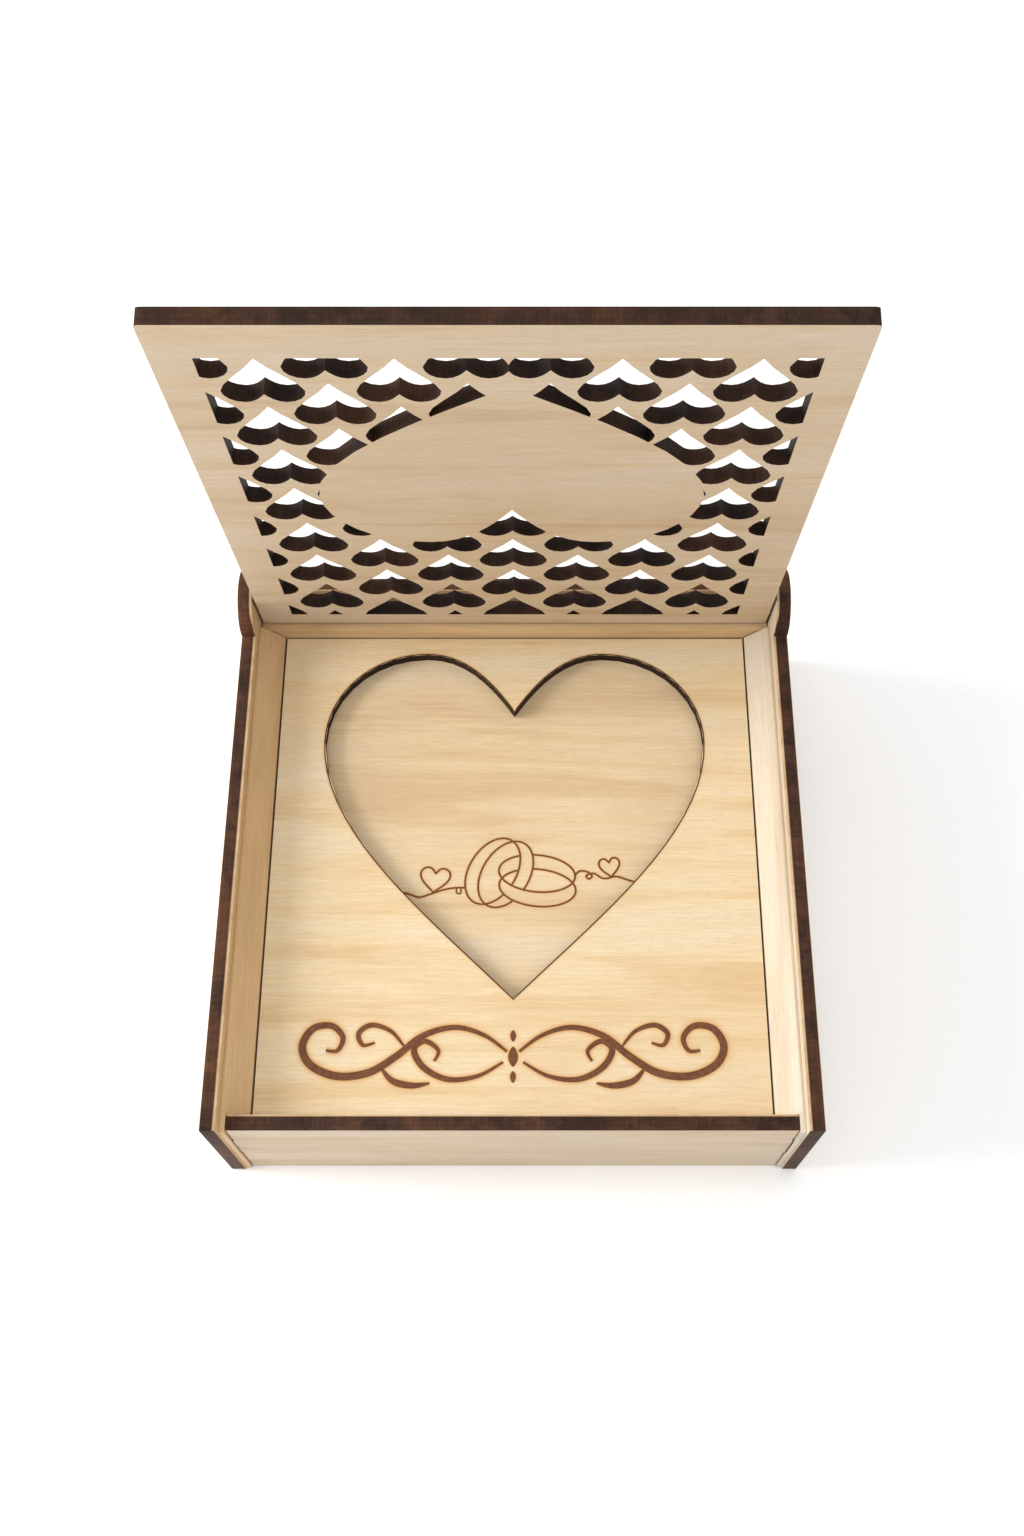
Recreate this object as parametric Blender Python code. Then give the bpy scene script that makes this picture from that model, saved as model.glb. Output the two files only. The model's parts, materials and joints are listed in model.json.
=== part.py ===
"""Wind-up music box: a shallow laser-cut plywood box with a lattice lid.

All driving sizes are in millimetres. The model is built in metres, +Z up, with the
origin at the centre of the footprint on the surface that the box stands on.
"Depth" values are measured from the front ends of the side walls towards the back.
"""
import math

import bmesh
import bpy
from mathutils import Matrix, Vector

MM = 0.001

# Box
WIDTH = 152.0
DEPTH = 156.6
RIM_HEIGHT = 48.0
PLY = 4.0
GAP = 0.3
HALF = WIDTH / 2
INNER = HALF - PLY
WALL_SETBACK = 0.9
REST_HEIGHT = RIM_HEIGHT - PLY

# Ears and lid
EAR_CENTRE = (146.9, 49.5)
EAR_RADIUS = 9.7
PIVOT_DEPTH = 146.4
PIVOT_HEIGHT = REST_HEIGHT + GAP + PLY / 2
PIN_RADIUS = 1.0
PIN_IN_LID = 9.0
LID_HALF = 71.2
LID_TAIL = 3.8
LID_REACH = 151.4
LID_OPEN_DEG = 81.0
LID_CORNER = 2.0

# Back wall and liners
BACK_WALL_DEPTH = 150.9
BACK_WALL_TOP = 50.0
LINER_INNER = 65.5
TONGUE_INNER = 70.5
LINER_SHELF = 71.3
LINER_LOW = 38.0
SIDE_LINER_END = 142.6
REAR_LINER_FRONT = 143.0
REAR_LINER_TOP = 41.4
LEDGE_WIDTH = 3.5
LEDGE_THICK = 3.3

# Deck with its heart opening, and the floor under it
DECK_HALF = 65.0
DECK_TOP = 37.4
DECK_PLY = 3.0
DECK_SEAM = 0.5
HEART_TIP_DEPTH = 36.2
HEART_WIDTH = 104.8
HEART_HEIGHT = 101.1
FLOOR_FLANGE = 5.0

# Bottom plate and the wall tenons
PLATE_BOTTOM = 9.5
PLATE_TOP = PLATE_BOTTOM + PLY
WALL_TENON = (18.0, 32.0)
PLATE_TENONS = ((28.0, 48.0), (104.0, 124.0))

# Lattice: hearts point away from the hinge
WINDOW_HALF = 62.3
WINDOW_NEAR = 2.7
WINDOW_FAR = 139.4
CELL_WIDTH = 17.4
CELL_HEIGHT = 17.1
ROW_PITCH = 19.05
FIRST_TIP = 24.9
BLOCK_SPLIT = 76.0
NEAR_COLUMNS = (0.0, 16.5, 33.0, 50.0, 66.5)
FAR_COLUMNS = (8.4, 22.6, 36.7, 50.4, 64.6)
SHIELD_TIP = 128.2
SHIELD_WIDTH = 90.2
SHIELD_HEIGHT = 76.4
SHIELD_CLEFT = 18.5

# Musical movement: its bed plate lies on the bottom plate, in the front left corner
MOVEMENT_X = -39.5
MOVEMENT_DEPTH = 27.5
BED_Z = PLATE_TOP + GAP
BED_HALF = (24.5, 18.5)
BED_THICK = 2.2
BED_TOP = BED_Z + BED_THICK
DRUM_Z = 24.0
DRUM_V = -2.0
DRUM_RADIUS = 6.0
DRUM_SPAN = (0.2, 18.6)
BARREL_U = -14.0
BARREL_TEETH = 36
CROWN_TEETH = 20
CROWN_RING = (4.7, 6.3)
DRUM_GEAR_TEETH = 30
PINION_TEETH = 18
GEAR_MODULE = 0.42
GOVERNOR_DROP = 1.2
WORM_WHEEL_RADIUS = 3.4
WORM_WHEEL_TEETH = 16
WORM_STARTS = 2
WORM_U = 15.75
WORM_RADIUS = 1.1
ARBOR_RADIUS = 1.5
KEY_SPAN = 22.0
COMB_TEETH = 18
BED_SCREWS = ((-21.0, 14.5), (21.3, 15.0), (-2.0, -15.5))
COMB_SCREWS = ((3.5, 14.5), (13.5, 14.5))
GOVERNOR_SCREWS = ((12.9, -14.0), (19.3, -15.2))

COLOURS = {
    "ply": ((0.74, 0.56, 0.35, 1.0), 0.6, 0.0),
    "batten": ((0.80, 0.64, 0.43, 1.0), 0.55, 0.0),
    "steel": ((0.62, 0.62, 0.64, 1.0), 0.28, 1.0),
    "zinc": ((0.55, 0.55, 0.57, 1.0), 0.42, 1.0),
    "brass": ((0.78, 0.58, 0.26, 1.0), 0.3, 1.0),
    "spring": ((0.30, 0.33, 0.40, 1.0), 0.35, 1.0),
    "nylon": ((0.86, 0.85, 0.80, 1.0), 0.45, 0.0),
}


def clear_scene():
    for old in list(bpy.data.objects):
        bpy.data.objects.remove(old, do_unlink=True)


def at_depth(depth):
    """World y, in millimetres, of a depth behind the front ends."""
    return depth - DEPTH / 2


def material_for(name, kind):
    colour, roughness, metallic = COLOURS[kind]
    material = bpy.data.materials.new(name)
    material.use_nodes = True
    shader = material.node_tree.nodes["Principled BSDF"]
    shader.inputs["Base Color"].default_value = colour
    shader.inputs["Roughness"].default_value = roughness
    shader.inputs["Metallic"].default_value = metallic
    return material


def place(name, bm, kind, smooth=False):
    """Turn a bmesh in millimetres into a named object in metres."""
    bmesh.ops.scale(bm, vec=(MM, MM, MM), verts=bm.verts)
    bmesh.ops.recalc_face_normals(bm, faces=bm.faces)
    mesh = bpy.data.meshes.new(name)
    bm.to_mesh(mesh)
    bm.free()
    if smooth:
        mesh.shade_smooth()
        mesh.set_sharp_from_angle(angle=math.radians(35))
    part = bpy.data.objects.new(name, mesh)
    bpy.context.scene.collection.objects.link(part)
    if kind:
        mesh.materials.append(material_for(name, kind))
    return part


def add_box(bm, low, high):
    size = [b - a for a, b in zip(low, high)]
    middle = [(a + b) / 2 for a, b in zip(low, high)]
    matrix = Matrix.Translation(middle) @ Matrix.Diagonal((*size, 1))
    bmesh.ops.create_cube(bm, size=1.0, matrix=matrix)


def add_rod(bm, start, end, radius, segments=20):
    """A round bar between two points."""
    axis = Vector(end) - Vector(start)
    turn = axis.to_track_quat("Z", "Y").to_matrix().to_4x4()
    matrix = Matrix.Translation((Vector(start) + Vector(end)) / 2) @ turn
    bmesh.ops.create_cone(bm, cap_ends=True, segments=segments, radius1=radius,
                          radius2=radius, depth=axis.length, matrix=matrix)


def add_prism(bm, outline, low, high, axes="XY"):
    """Extrude a closed outline. axes names the two axes that the outline lies in."""
    order = {"XY": (0, 1, 2), "YZ": (1, 2, 0), "XZ": (0, 2, 1)}[axes]
    verts = []
    for point in outline:
        spot = [0.0, 0.0, 0.0]
        spot[order[0]], spot[order[1]], spot[order[2]] = point[0], point[1], low
        verts.append(bm.verts.new(spot))
    face = bm.faces.new(verts)
    grown = bmesh.ops.extrude_face_region(bm, geom=[face])
    shift = [0.0, 0.0, 0.0]
    shift[order[2]] = high - low
    moved = [item for item in grown["geom"] if isinstance(item, bmesh.types.BMVert)]
    bmesh.ops.translate(bm, vec=shift, verts=moved)


def box(name, low, high, kind):
    bm = bmesh.new()
    add_box(bm, low, high)
    return place(name, bm, kind)


def prism(name, outline, low, high, kind, axes="XY", smooth=False):
    bm = bmesh.new()
    add_prism(bm, outline, low, high, axes)
    return place(name, bm, kind, smooth)


def rod(name, start, end, radius, kind, segments=20):
    bm = bmesh.new()
    add_rod(bm, start, end, radius, segments)
    return place(name, bm, kind, smooth=True)


def as_tool(part):
    part.hide_render = True
    part.display_type = "WIRE"
    return part


def combine(part, tool, operation):
    change = part.modifiers.new(operation.title(), "BOOLEAN")
    change.operation = operation
    change.solver = "EXACT"
    change.object = as_tool(tool)
    return part


def cut(part, *tools):
    for tool in tools:
        combine(part, tool, "DIFFERENCE")
    return part


def join(part, *tools):
    for tool in tools:
        combine(part, tool, "UNION")
    return part


def drill(part, start, end, radius, segments=20):
    return cut(part, rod(f"hole_in_{part.name}", start, end, radius, None, segments))


def hold(parts, empty):
    """Parent parts to an empty that sits on their joint axis, keeping their places."""
    for part in parts:
        part.parent = empty
        part.matrix_parent_inverse = empty.matrix_basis.inverted()


def pivot(name, spot):
    empty = bpy.data.objects.new(name, None)
    empty.location = [value * MM for value in spot]
    bpy.context.scene.collection.objects.link(empty)
    return empty


def bezier(start, control_a, control_b, end, steps):
    """Points of a cubic curve, without its last one."""
    points = []
    for step in range(steps):
        t = step / steps
        s = 1 - t
        weights = (s ** 3, 3 * s * s * t, 3 * s * t * t, t ** 3)
        corners = (start, control_a, control_b, end)
        points.append(tuple(sum(w * c[k] for w, c in zip(weights, corners)) for k in (0, 1)))
    return points


def heart(width, height, cleft, shoulder, lobe, flank, steps):
    """Heart outline, tip at the origin and lobes at y = height.

    cleft is how far the notch lies below the lobes, shoulder the height of the widest
    point, lobe the x of a lobe's top, and flank the two control points from the widest
    point to the tip.
    """
    half = width / 2
    notch = (0.0, height - cleft)
    top = (lobe, height)
    side = (half, shoulder)
    right = bezier(notch, (lobe * 0.22, height - cleft * 0.56), (lobe * 0.53, height), top, steps)
    right += bezier(top, (lobe + (half - lobe) * 0.56, height),
                    (half, shoulder + (height - shoulder) * 0.56), side, steps)
    right += bezier(side, flank[0], flank[1], (0.0, 0.0), steps)
    left = [(-x, y) for x, y in reversed(right[1:])]
    return right + [(0.0, 0.0)] + left


def moved(outline, dx, dy, flip=1.0):
    return [(x + dx, y * flip + dy) for x, y in outline]


def grown(outline, margin):
    """Push an outline outwards by margin, along the mean of each point's edge normals."""
    count = len(outline)
    area = sum(outline[k - 1][0] * outline[k][1] - outline[k][0] * outline[k - 1][1]
               for k in range(count))
    sign = 1.0 if area > 0 else -1.0
    result = []
    for k in range(count):
        before, here, after = outline[k - 1], outline[k], outline[(k + 1) % count]
        edge_a = Vector((here[0] - before[0], here[1] - before[1])).normalized()
        edge_b = Vector((after[0] - here[0], after[1] - here[1])).normalized()
        normal = Vector((edge_a.y + edge_b.y, -edge_a.x - edge_b.x)).normalized() * sign
        reach = min(1.5, 1.0 / max(0.3, normal.dot(Vector((edge_a.y, -edge_a.x))) * sign))
        result.append((here[0] + normal.x * margin * reach, here[1] + normal.y * margin * reach))
    return result


def gear_outline(teeth, root, tip, phase=0.0, fill=0.36):
    """Straight-sided teeth. phase is the angle of the first tooth's middle."""
    pitch = 2 * math.pi / teeth
    points = []
    for index in range(teeth):
        middle = phase + index * pitch
        foot = pitch * (fill + 0.10) / 2
        crest = pitch * (fill - 0.10) / 2
        for radius, angle in ((root, -foot), (tip, -crest), (tip, crest), (root, foot)):
            points.append((radius * math.cos(middle + angle), radius * math.sin(middle + angle)))
    return points


# ---------------------------------------------------------------- the wooden box

def deck_heart():
    flank = ((HEART_WIDTH / 2, 46.0), (20.0, 20.5))
    outline = heart(HEART_WIDTH, HEART_HEIGHT, 18.4, 73.7, 24.7, flank, 9)
    return moved(outline, 0.0, at_depth(HEART_TIP_DEPTH))


def side_wall_outline():
    """Profile in depth and height: a straight rim that ends in a round ear."""
    ear_y, ear_z = EAR_CENTRE
    start = math.pi - math.asin((RIM_HEIGHT - ear_z) / EAR_RADIUS)
    points = [(at_depth(0.0), 0.0), (at_depth(0.0), RIM_HEIGHT)]
    steps = 26
    for step in range(steps + 1):
        angle = start * (1 - step / steps)
        points.append((at_depth(ear_y) + EAR_RADIUS * math.cos(angle),
                       ear_z + EAR_RADIUS * math.sin(angle)))
    points.append((at_depth(DEPTH), 0.0))
    return points


def tenon_hole(name, side, depths, heights):
    ends = sorted((side * (TONGUE_INNER - 2), side * (HALF + 2)))
    low = (ends[0], at_depth(depths[0]) - GAP, heights[0] - GAP)
    high = (ends[1], at_depth(depths[1]) + GAP, heights[1] + GAP)
    return box(name, low, high, None)


def front_span():
    return WALL_SETBACK, WALL_SETBACK + PLY


def back_span():
    return BACK_WALL_DEPTH, BACK_WALL_DEPTH + PLY


def tenon_holes(side):
    holes = [tenon_hole("front_mortise", side, front_span(), WALL_TENON),
             tenon_hole("back_mortise", side, back_span(), WALL_TENON)]
    for depths in PLATE_TENONS:
        holes.append(tenon_hole("plate_mortise", side, depths, (PLATE_BOTTOM, PLATE_TOP)))
    return holes


def make_side_wall(name, side):
    low, high = sorted((side * INNER, side * HALF))
    wall = prism(name, side_wall_outline(), low, high, "ply", axes="YZ")
    cut(wall, *tenon_holes(side))
    pin_y = at_depth(PIVOT_DEPTH)
    drill(wall, (low - 1, pin_y, PIVOT_HEIGHT), (high + 1, pin_y, PIVOT_HEIGHT),
          PIN_RADIUS + GAP, 16)


def make_cross_wall(name, depths, half, top):
    """A wall between the side walls, with a through tenon at each end."""
    outline = [(-half, 0.0), (half, 0.0), (half, WALL_TENON[0]), (HALF, WALL_TENON[0]),
               (HALF, WALL_TENON[1]), (half, WALL_TENON[1]), (half, top), (-half, top),
               (-half, WALL_TENON[1]), (-HALF, WALL_TENON[1]), (-HALF, WALL_TENON[0]),
               (-half, WALL_TENON[0])]
    return prism(name, outline, at_depth(depths[0]), at_depth(depths[1]), "ply", axes="XZ")


def make_side_liner(name, side):
    """Batten with a sloped top, a ledge for the deck and a thin tongue at the front."""
    top = REST_HEIGHT
    inner, outer = LINER_INNER, INNER - GAP
    ledge_top = DECK_TOP - DECK_PLY - GAP
    profile = [(inner, PLATE_TOP + GAP), (outer, PLATE_TOP + GAP), (outer, top),
               (LINER_SHELF, top), (inner, LINER_LOW),
               (inner, ledge_top), (inner - LEDGE_WIDTH, ledge_top),
               (inner - LEDGE_WIDTH, ledge_top - LEDGE_THICK), (inner, ledge_top - LEDGE_THICK)]
    profile = [(side * x, z) for x, z in profile]
    start = at_depth(front_span()[1] + GAP)
    liner = prism(name, profile, start, at_depth(SIDE_LINER_END), "batten", axes="XZ")
    ends = sorted((side * TONGUE_INNER, side * outer))
    tongue = box("tongue", (ends[0], at_depth(0.4), GAP), (ends[1], start + 0.5, top), None)
    join(liner, tongue)
    ends = sorted((side * (TONGUE_INNER - 1), side * (outer + 1)))
    relief = box("plate_relief", (ends[0], at_depth(front_span()[1]), -1.0),
                 (ends[1], start + 2.0, PLATE_TOP + GAP), None)
    cut(liner, tenon_hole("tongue_mortise", side, front_span(), WALL_TENON), relief)


def make_bottom_plate():
    half = INNER - GAP
    front = at_depth(front_span()[1] + GAP)
    back = at_depth(BACK_WALL_DEPTH - GAP)
    right = [(half, front)]
    for near, far in PLATE_TENONS:
        near, far = at_depth(near), at_depth(far)
        right += [(half, near), (HALF, near), (HALF, far), (half, far)]
    right.append((half, back))
    outline = right + [(-x, y) for x, y in reversed(right)]
    plate = prism("bottom_plate", outline, PLATE_BOTTOM, PLATE_TOP, "ply")
    for u, v in BED_SCREWS:
        x, y = movement_spot(u, v)
        drill(plate, (x, y, PLATE_BOTTOM - 1), (x, y, PLATE_TOP + 1), 1.5, 14)
    x, y = movement_spot(BARREL_U, DRUM_V)
    drill(plate, (x, y, PLATE_BOTTOM - 1), (x, y, PLATE_TOP + 1), ARBOR_RADIUS + 1.0, 20)


def make_deck():
    front = at_depth(front_span()[1] + DECK_SEAM)
    back = at_depth(REAR_LINER_FRONT - DECK_SEAM)
    deck = box("deck_panel", (-DECK_HALF, front, DECK_TOP - DECK_PLY),
               (DECK_HALF, back, DECK_TOP), "ply")
    cut(deck, prism("heart_opening", deck_heart(), DECK_TOP - DECK_PLY - 2, DECK_TOP + 2, None))
    floor_top = DECK_TOP - DECK_PLY - GAP
    prism("heart_floor", grown(deck_heart(), FLOOR_FLANGE), floor_top - PLY, floor_top, "ply")


def make_box():
    for side, name in ((-1, "left"), (1, "right")):
        make_side_wall(f"side_wall_{name}", side)
        make_side_liner(f"side_liner_{name}", side)
    make_cross_wall("front_wall", front_span(), TONGUE_INNER - GAP, REST_HEIGHT)
    make_cross_wall("back_wall", back_span(), INNER - GAP, BACK_WALL_TOP)
    make_bottom_plate()
    liner_half = INNER - GAP
    box("rear_liner", (-liner_half, at_depth(REAR_LINER_FRONT), PLATE_TOP + GAP),
        (liner_half, at_depth(BACK_WALL_DEPTH - GAP), REAR_LINER_TOP), "batten")
    make_deck()


# ---------------------------------------------------------------- the lid

def inside(point, outline):
    """Whether a point lies within a closed outline."""
    x, y = point
    odd = False
    for (ax, ay), (bx, by) in zip(outline, outline[1:] + outline[:1]):
        if (ay > y) != (by > y) and x < ax + (y - ay) * (bx - ax) / (by - ay):
            odd = not odd
    return odd


def lattice_cells(cell, shield):
    """Heart outlines of the lattice, in x and distance from the hinge.

    A cell that the solid heart covers completely is left out.
    """
    cells = []
    for columns, low, high in ((NEAR_COLUMNS, 2.0, BLOCK_SPLIT), (FAR_COLUMNS, BLOCK_SPLIT, 158.0)):
        for index, column in enumerate(columns):
            offset = 0.0 if index % 2 == 1 else ROW_PITCH / 2
            for row in range(-1, 8):
                tip = FIRST_TIP + row * ROW_PITCH + offset
                for across in sorted({-column, column}):
                    outline = moved(cell, across, tip, flip=-1.0)
                    covered = all(inside(point, shield) for point in outline)
                    if low <= tip < high and not covered:
                        cells.append(outline)
    return cells


def make_lid():
    """The lid is made closed, then its empty turns it to the open rest position."""
    pin_y = at_depth(PIVOT_DEPTH)
    low, high = PIVOT_HEIGHT - PLY / 2, PIVOT_HEIGHT + PLY / 2
    front, back = pin_y - LID_REACH, pin_y + LID_TAIL
    nip = LID_CORNER
    outline = [(-LID_HALF, back), (-LID_HALF, front + nip)]
    outline += bezier((-LID_HALF, front + nip), (-LID_HALF, front), (-LID_HALF, front),
                      (-LID_HALF + nip, front), 4)[1:]
    outline += [(-LID_HALF + nip, front), (LID_HALF - nip, front)]
    outline += bezier((LID_HALF - nip, front), (LID_HALF, front), (LID_HALF, front),
                      (LID_HALF, front + nip), 4)[1:]
    outline += [(LID_HALF, front + nip), (LID_HALF, back)]
    lid = prism("lid_panel", outline, low, high, "ply")

    flank = ((CELL_WIDTH / 2, 9.6), (2.2, 4.4))
    cell = heart(CELL_WIDTH, CELL_HEIGHT, 3.2, 12.6, 4.3, flank, 4)
    flank = ((SHIELD_WIDTH / 2, 30.0), (14.0, 10.5))
    shield = heart(SHIELD_WIDTH, SHIELD_HEIGHT, SHIELD_CLEFT, 50.4, 20.5, flank, 8)
    shield = moved(shield, 0.0, SHIELD_TIP, flip=-1.0)
    bm = bmesh.new()
    for outline in lattice_cells(cell, shield):
        add_prism(bm, moved(outline, 0.0, pin_y, flip=-1.0), low - 2, high + 2)
    cells = place("lattice_holes", bm, None)
    window = box("lattice_window", (-WINDOW_HALF, pin_y - WINDOW_FAR, low - 3),
                 (WINDOW_HALF, pin_y - WINDOW_NEAR, high + 3), None)
    combine(cells, window, "INTERSECT")
    shield = moved(shield, 0.0, pin_y, flip=-1.0)
    cut(cells, prism("solid_heart", shield, low - 4, high + 4, None))
    cut(lid, cells)
    lid.modifiers[0].use_self = True

    parts = [lid]
    for side, name in ((-1, "left"), (1, "right")):
        inner, outer = side * (LID_HALF - PIN_IN_LID), side * (HALF - GAP)
        drill(lid, (inner - side * GAP, pin_y, PIVOT_HEIGHT), (side * HALF, pin_y, PIVOT_HEIGHT),
              PIN_RADIUS + GAP, 16)
        parts.append(rod(f"hinge_pin_{name}", (inner, pin_y, PIVOT_HEIGHT),
                         (outer, pin_y, PIVOT_HEIGHT), PIN_RADIUS, "steel", 16))
    hinge = pivot("lid_hinge_axis", (0.0, pin_y, PIVOT_HEIGHT))
    hold(parts + [cells] + [change.object for change in lid.modifiers if change.object], hinge)
    hold([change.object for change in cells.modifiers], hinge)
    hinge.rotation_euler = (-math.radians(LID_OPEN_DEG), 0.0, 0.0)


# ---------------------------------------------------------------- the movement

def movement_spot(u, v):
    """World x and y, in millimetres, of a place on the movement's bed plate."""
    return MOVEMENT_X + u, at_depth(MOVEMENT_DEPTH) + v


def spot3(u, v, z):
    return (*movement_spot(u, v), z)


def movement_box(name, low, high, kind=None):
    return box(name, spot3(*low), spot3(*high), kind)


def governor_axis():
    reach = GEAR_MODULE * (DRUM_GEAR_TEETH + PINION_TEETH) / 2 + 0.08
    return DRUM_V - math.sqrt(reach ** 2 - GOVERNOR_DROP ** 2), DRUM_Z - GOVERNOR_DROP


def worm_v():
    return governor_axis()[0] - WORM_WHEEL_RADIUS - WORM_RADIUS - GAP


def make_bed():
    u, v = BED_HALF
    chamfer = 3.0
    outline = [(-u + chamfer, -v), (u - chamfer, -v), (u, -v + chamfer), (u, v - chamfer),
               (u - chamfer, v), (-u + chamfer, v), (-u, v - chamfer), (-u, -v + chamfer)]
    outline = moved(outline, *movement_spot(0, 0))
    bed = prism("bed_plate", outline, BED_Z, BED_TOP, "zinc")
    sunk = BED_TOP - 0.4
    join(bed, movement_box("comb_seat", (-1.2, 11.5, sunk), (19.4, 17.5, 23.1)))
    for low, high in ((-1.5, -0.3), (21.0, 22.3)):
        join(bed, movement_box("drum_bearing", (low, DRUM_V - 3, sunk), (high, DRUM_V + 3, 27.0)))
    drill(bed, spot3(-1.8, DRUM_V, DRUM_Z), spot3(23.0, DRUM_V, DRUM_Z), 1.3, 16)
    drill(bed, spot3(BARREL_U, DRUM_V, BED_Z - 1), spot3(BARREL_U, DRUM_V, BED_TOP + 1),
          ARBOR_RADIUS + GAP, 20)
    for u, v in BED_SCREWS:
        drill(bed, spot3(u, v, BED_Z - 1), spot3(u, v, BED_TOP + 1), 1.5, 14)
    for u, v in COMB_SCREWS:
        drill(bed, spot3(u, v, 18.5), spot3(u, v, 25.0), 1.2, 14)
    for u, v in GOVERNOR_SCREWS:
        drill(bed, spot3(u, v, BED_TOP - 1.4), spot3(u, v, BED_TOP + 1), 1.1, 14)


def make_comb():
    """A steel plate with a row of tuned teeth that reach the drum's pins."""
    pitch = 1.0
    start = 0.4
    root = 11.0
    tip = DRUM_V + DRUM_RADIUS + 1.1
    outline = [(-0.6, 17.2), (-0.6, root)]
    for index in range(COMB_TEETH):
        left = start + index * pitch
        outline += [(left, root), (left, tip), (left + 0.66, tip), (left + 0.66, root)]
    outline += [(19.0, root), (19.0, 17.2)]
    outline = moved(outline, *movement_spot(0, 0))
    comb = prism("comb", outline, 23.4, 24.6, "steel")
    for u, v in COMB_SCREWS:
        drill(comb, spot3(u, v, 22.0), spot3(u, v, 26.0), 1.2, 14)


def make_screw(name, u, v, shank_low, shank_high, head_low, head_high, shank, head):
    """A pan head on a shank, with a straight slot in the head."""
    bm = bmesh.new()
    add_rod(bm, spot3(u, v, shank_low), spot3(u, v, shank_high), shank, 14)
    screw = place(name, bm, "steel", smooth=True)
    join(screw, rod("screw_head", spot3(u, v, head_low), spot3(u, v, head_high), head, None, 18))
    outward = 1 if head_high > shank_high - 0.01 else -1
    face = head_high if outward > 0 else head_low
    ends = sorted((face - outward * 0.5, face + outward))
    slot = movement_box("screw_slot", (u - head - 1, v - 0.3, ends[0]),
                        (u + head + 1, v + 0.3, ends[1]))
    cut(screw, slot)


def make_screws():
    for index, (u, v) in enumerate(BED_SCREWS, 1):
        make_screw(f"bed_screw_{index}", u, v, PLATE_BOTTOM - 1.0, BED_TOP - 0.4,
                   PLATE_BOTTOM - GAP - 1.3, PLATE_BOTTOM - GAP, 1.15, 2.6)
    for index, (u, v) in enumerate(COMB_SCREWS, 1):
        make_screw(f"comb_screw_{index}", u, v, 19.0, 25.4, 24.9, 26.1, 0.9, 1.8)
    foot_top = BED_TOP + GAP + 1.2
    for index, (u, v) in enumerate(GOVERNOR_SCREWS, 1):
        make_screw(f"governor_screw_{index}", u, v, BED_TOP - 1.0, foot_top + 0.8,
                   foot_top + GAP, foot_top + GAP + 0.9, 0.8, 1.4)


def make_drum():
    """Pinned cylinder on its shaft, a crown gear at one end and a spur gear at the other."""
    low, high = DRUM_SPAN
    around, along = 40, COMB_TEETH
    margin = 0.7
    bm = bmesh.new()
    stations = [low] + [low + margin + k * (high - low - 2 * margin) / along
                        for k in range(along + 1)] + [high]
    rings = []
    for u in stations:
        ring = []
        for k in range(around):
            angle = 2 * math.pi * k / around
            spot = spot3(u, DRUM_V + DRUM_RADIUS * math.cos(angle),
                         DRUM_Z + DRUM_RADIUS * math.sin(angle))
            ring.append(bm.verts.new(spot))
        rings.append(ring)
    pins = []
    for row in range(len(stations) - 1):
        for k in range(around):
            face = bm.faces.new((rings[row][k], rings[row][(k + 1) % around],
                                 rings[row + 1][(k + 1) % around], rings[row + 1][k]))
            tune = (row * 7 + k * 3 + (row * k) % 5) % 11 == 0
            if 0 < row < len(stations) - 2 and tune:
                pins.append(face)
    bm.faces.new(list(reversed(rings[0])))
    bm.faces.new(rings[-1])
    bmesh.ops.recalc_face_normals(bm, faces=bm.faces)
    bmesh.ops.inset_individual(bm, faces=pins, thickness=0.3, depth=0.0)
    for face in pins:
        bmesh.ops.translate(bm, vec=face.normal * 0.45, verts=face.verts)
    drum = place("pinned_drum", bm, "brass")
    bore = 1.0 + GAP
    drill(drum, spot3(low - 1, DRUM_V, DRUM_Z), spot3(high + 1, DRUM_V, DRUM_Z), bore, 20)
    shaft = rod("drum_shaft", spot3(-3.4, DRUM_V, DRUM_Z), spot3(23.0, DRUM_V, DRUM_Z), 1.0, "steel")
    crown = make_crown_gear(bore)
    phase = mesh_angle() - math.pi / DRUM_GEAR_TEETH
    gear = axial_gear("drum_gear", DRUM_V, DRUM_Z, DRUM_GEAR_TEETH, (19.0, 20.6), phase, bore)
    empty = pivot("drum_axis", spot3(0, DRUM_V, DRUM_Z))
    hold([drum, shaft, crown, gear], empty)


def mesh_angle():
    """Direction from the drum's axis to the governor's axis, in the y-z plane."""
    v, z = governor_axis()
    return math.atan2(z - DRUM_Z, v - DRUM_V)


def axial_gear(name, v, z, teeth, span, phase, bore):
    """A spur gear whose axis runs along X."""
    radius = GEAR_MODULE * teeth / 2
    outline = gear_outline(teeth, radius - 0.5, radius + 0.34, phase)
    centre = movement_spot(0, v)[1]
    low, high = movement_spot(span[0], 0)[0], movement_spot(span[1], 0)[0]
    gear = prism(name, moved(outline, centre, z), low, high, "nylon", axes="YZ")
    drill(gear, spot3(span[0] - 1, v, z), spot3(span[1] + 1, v, z), bore, 16)
    return gear


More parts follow.
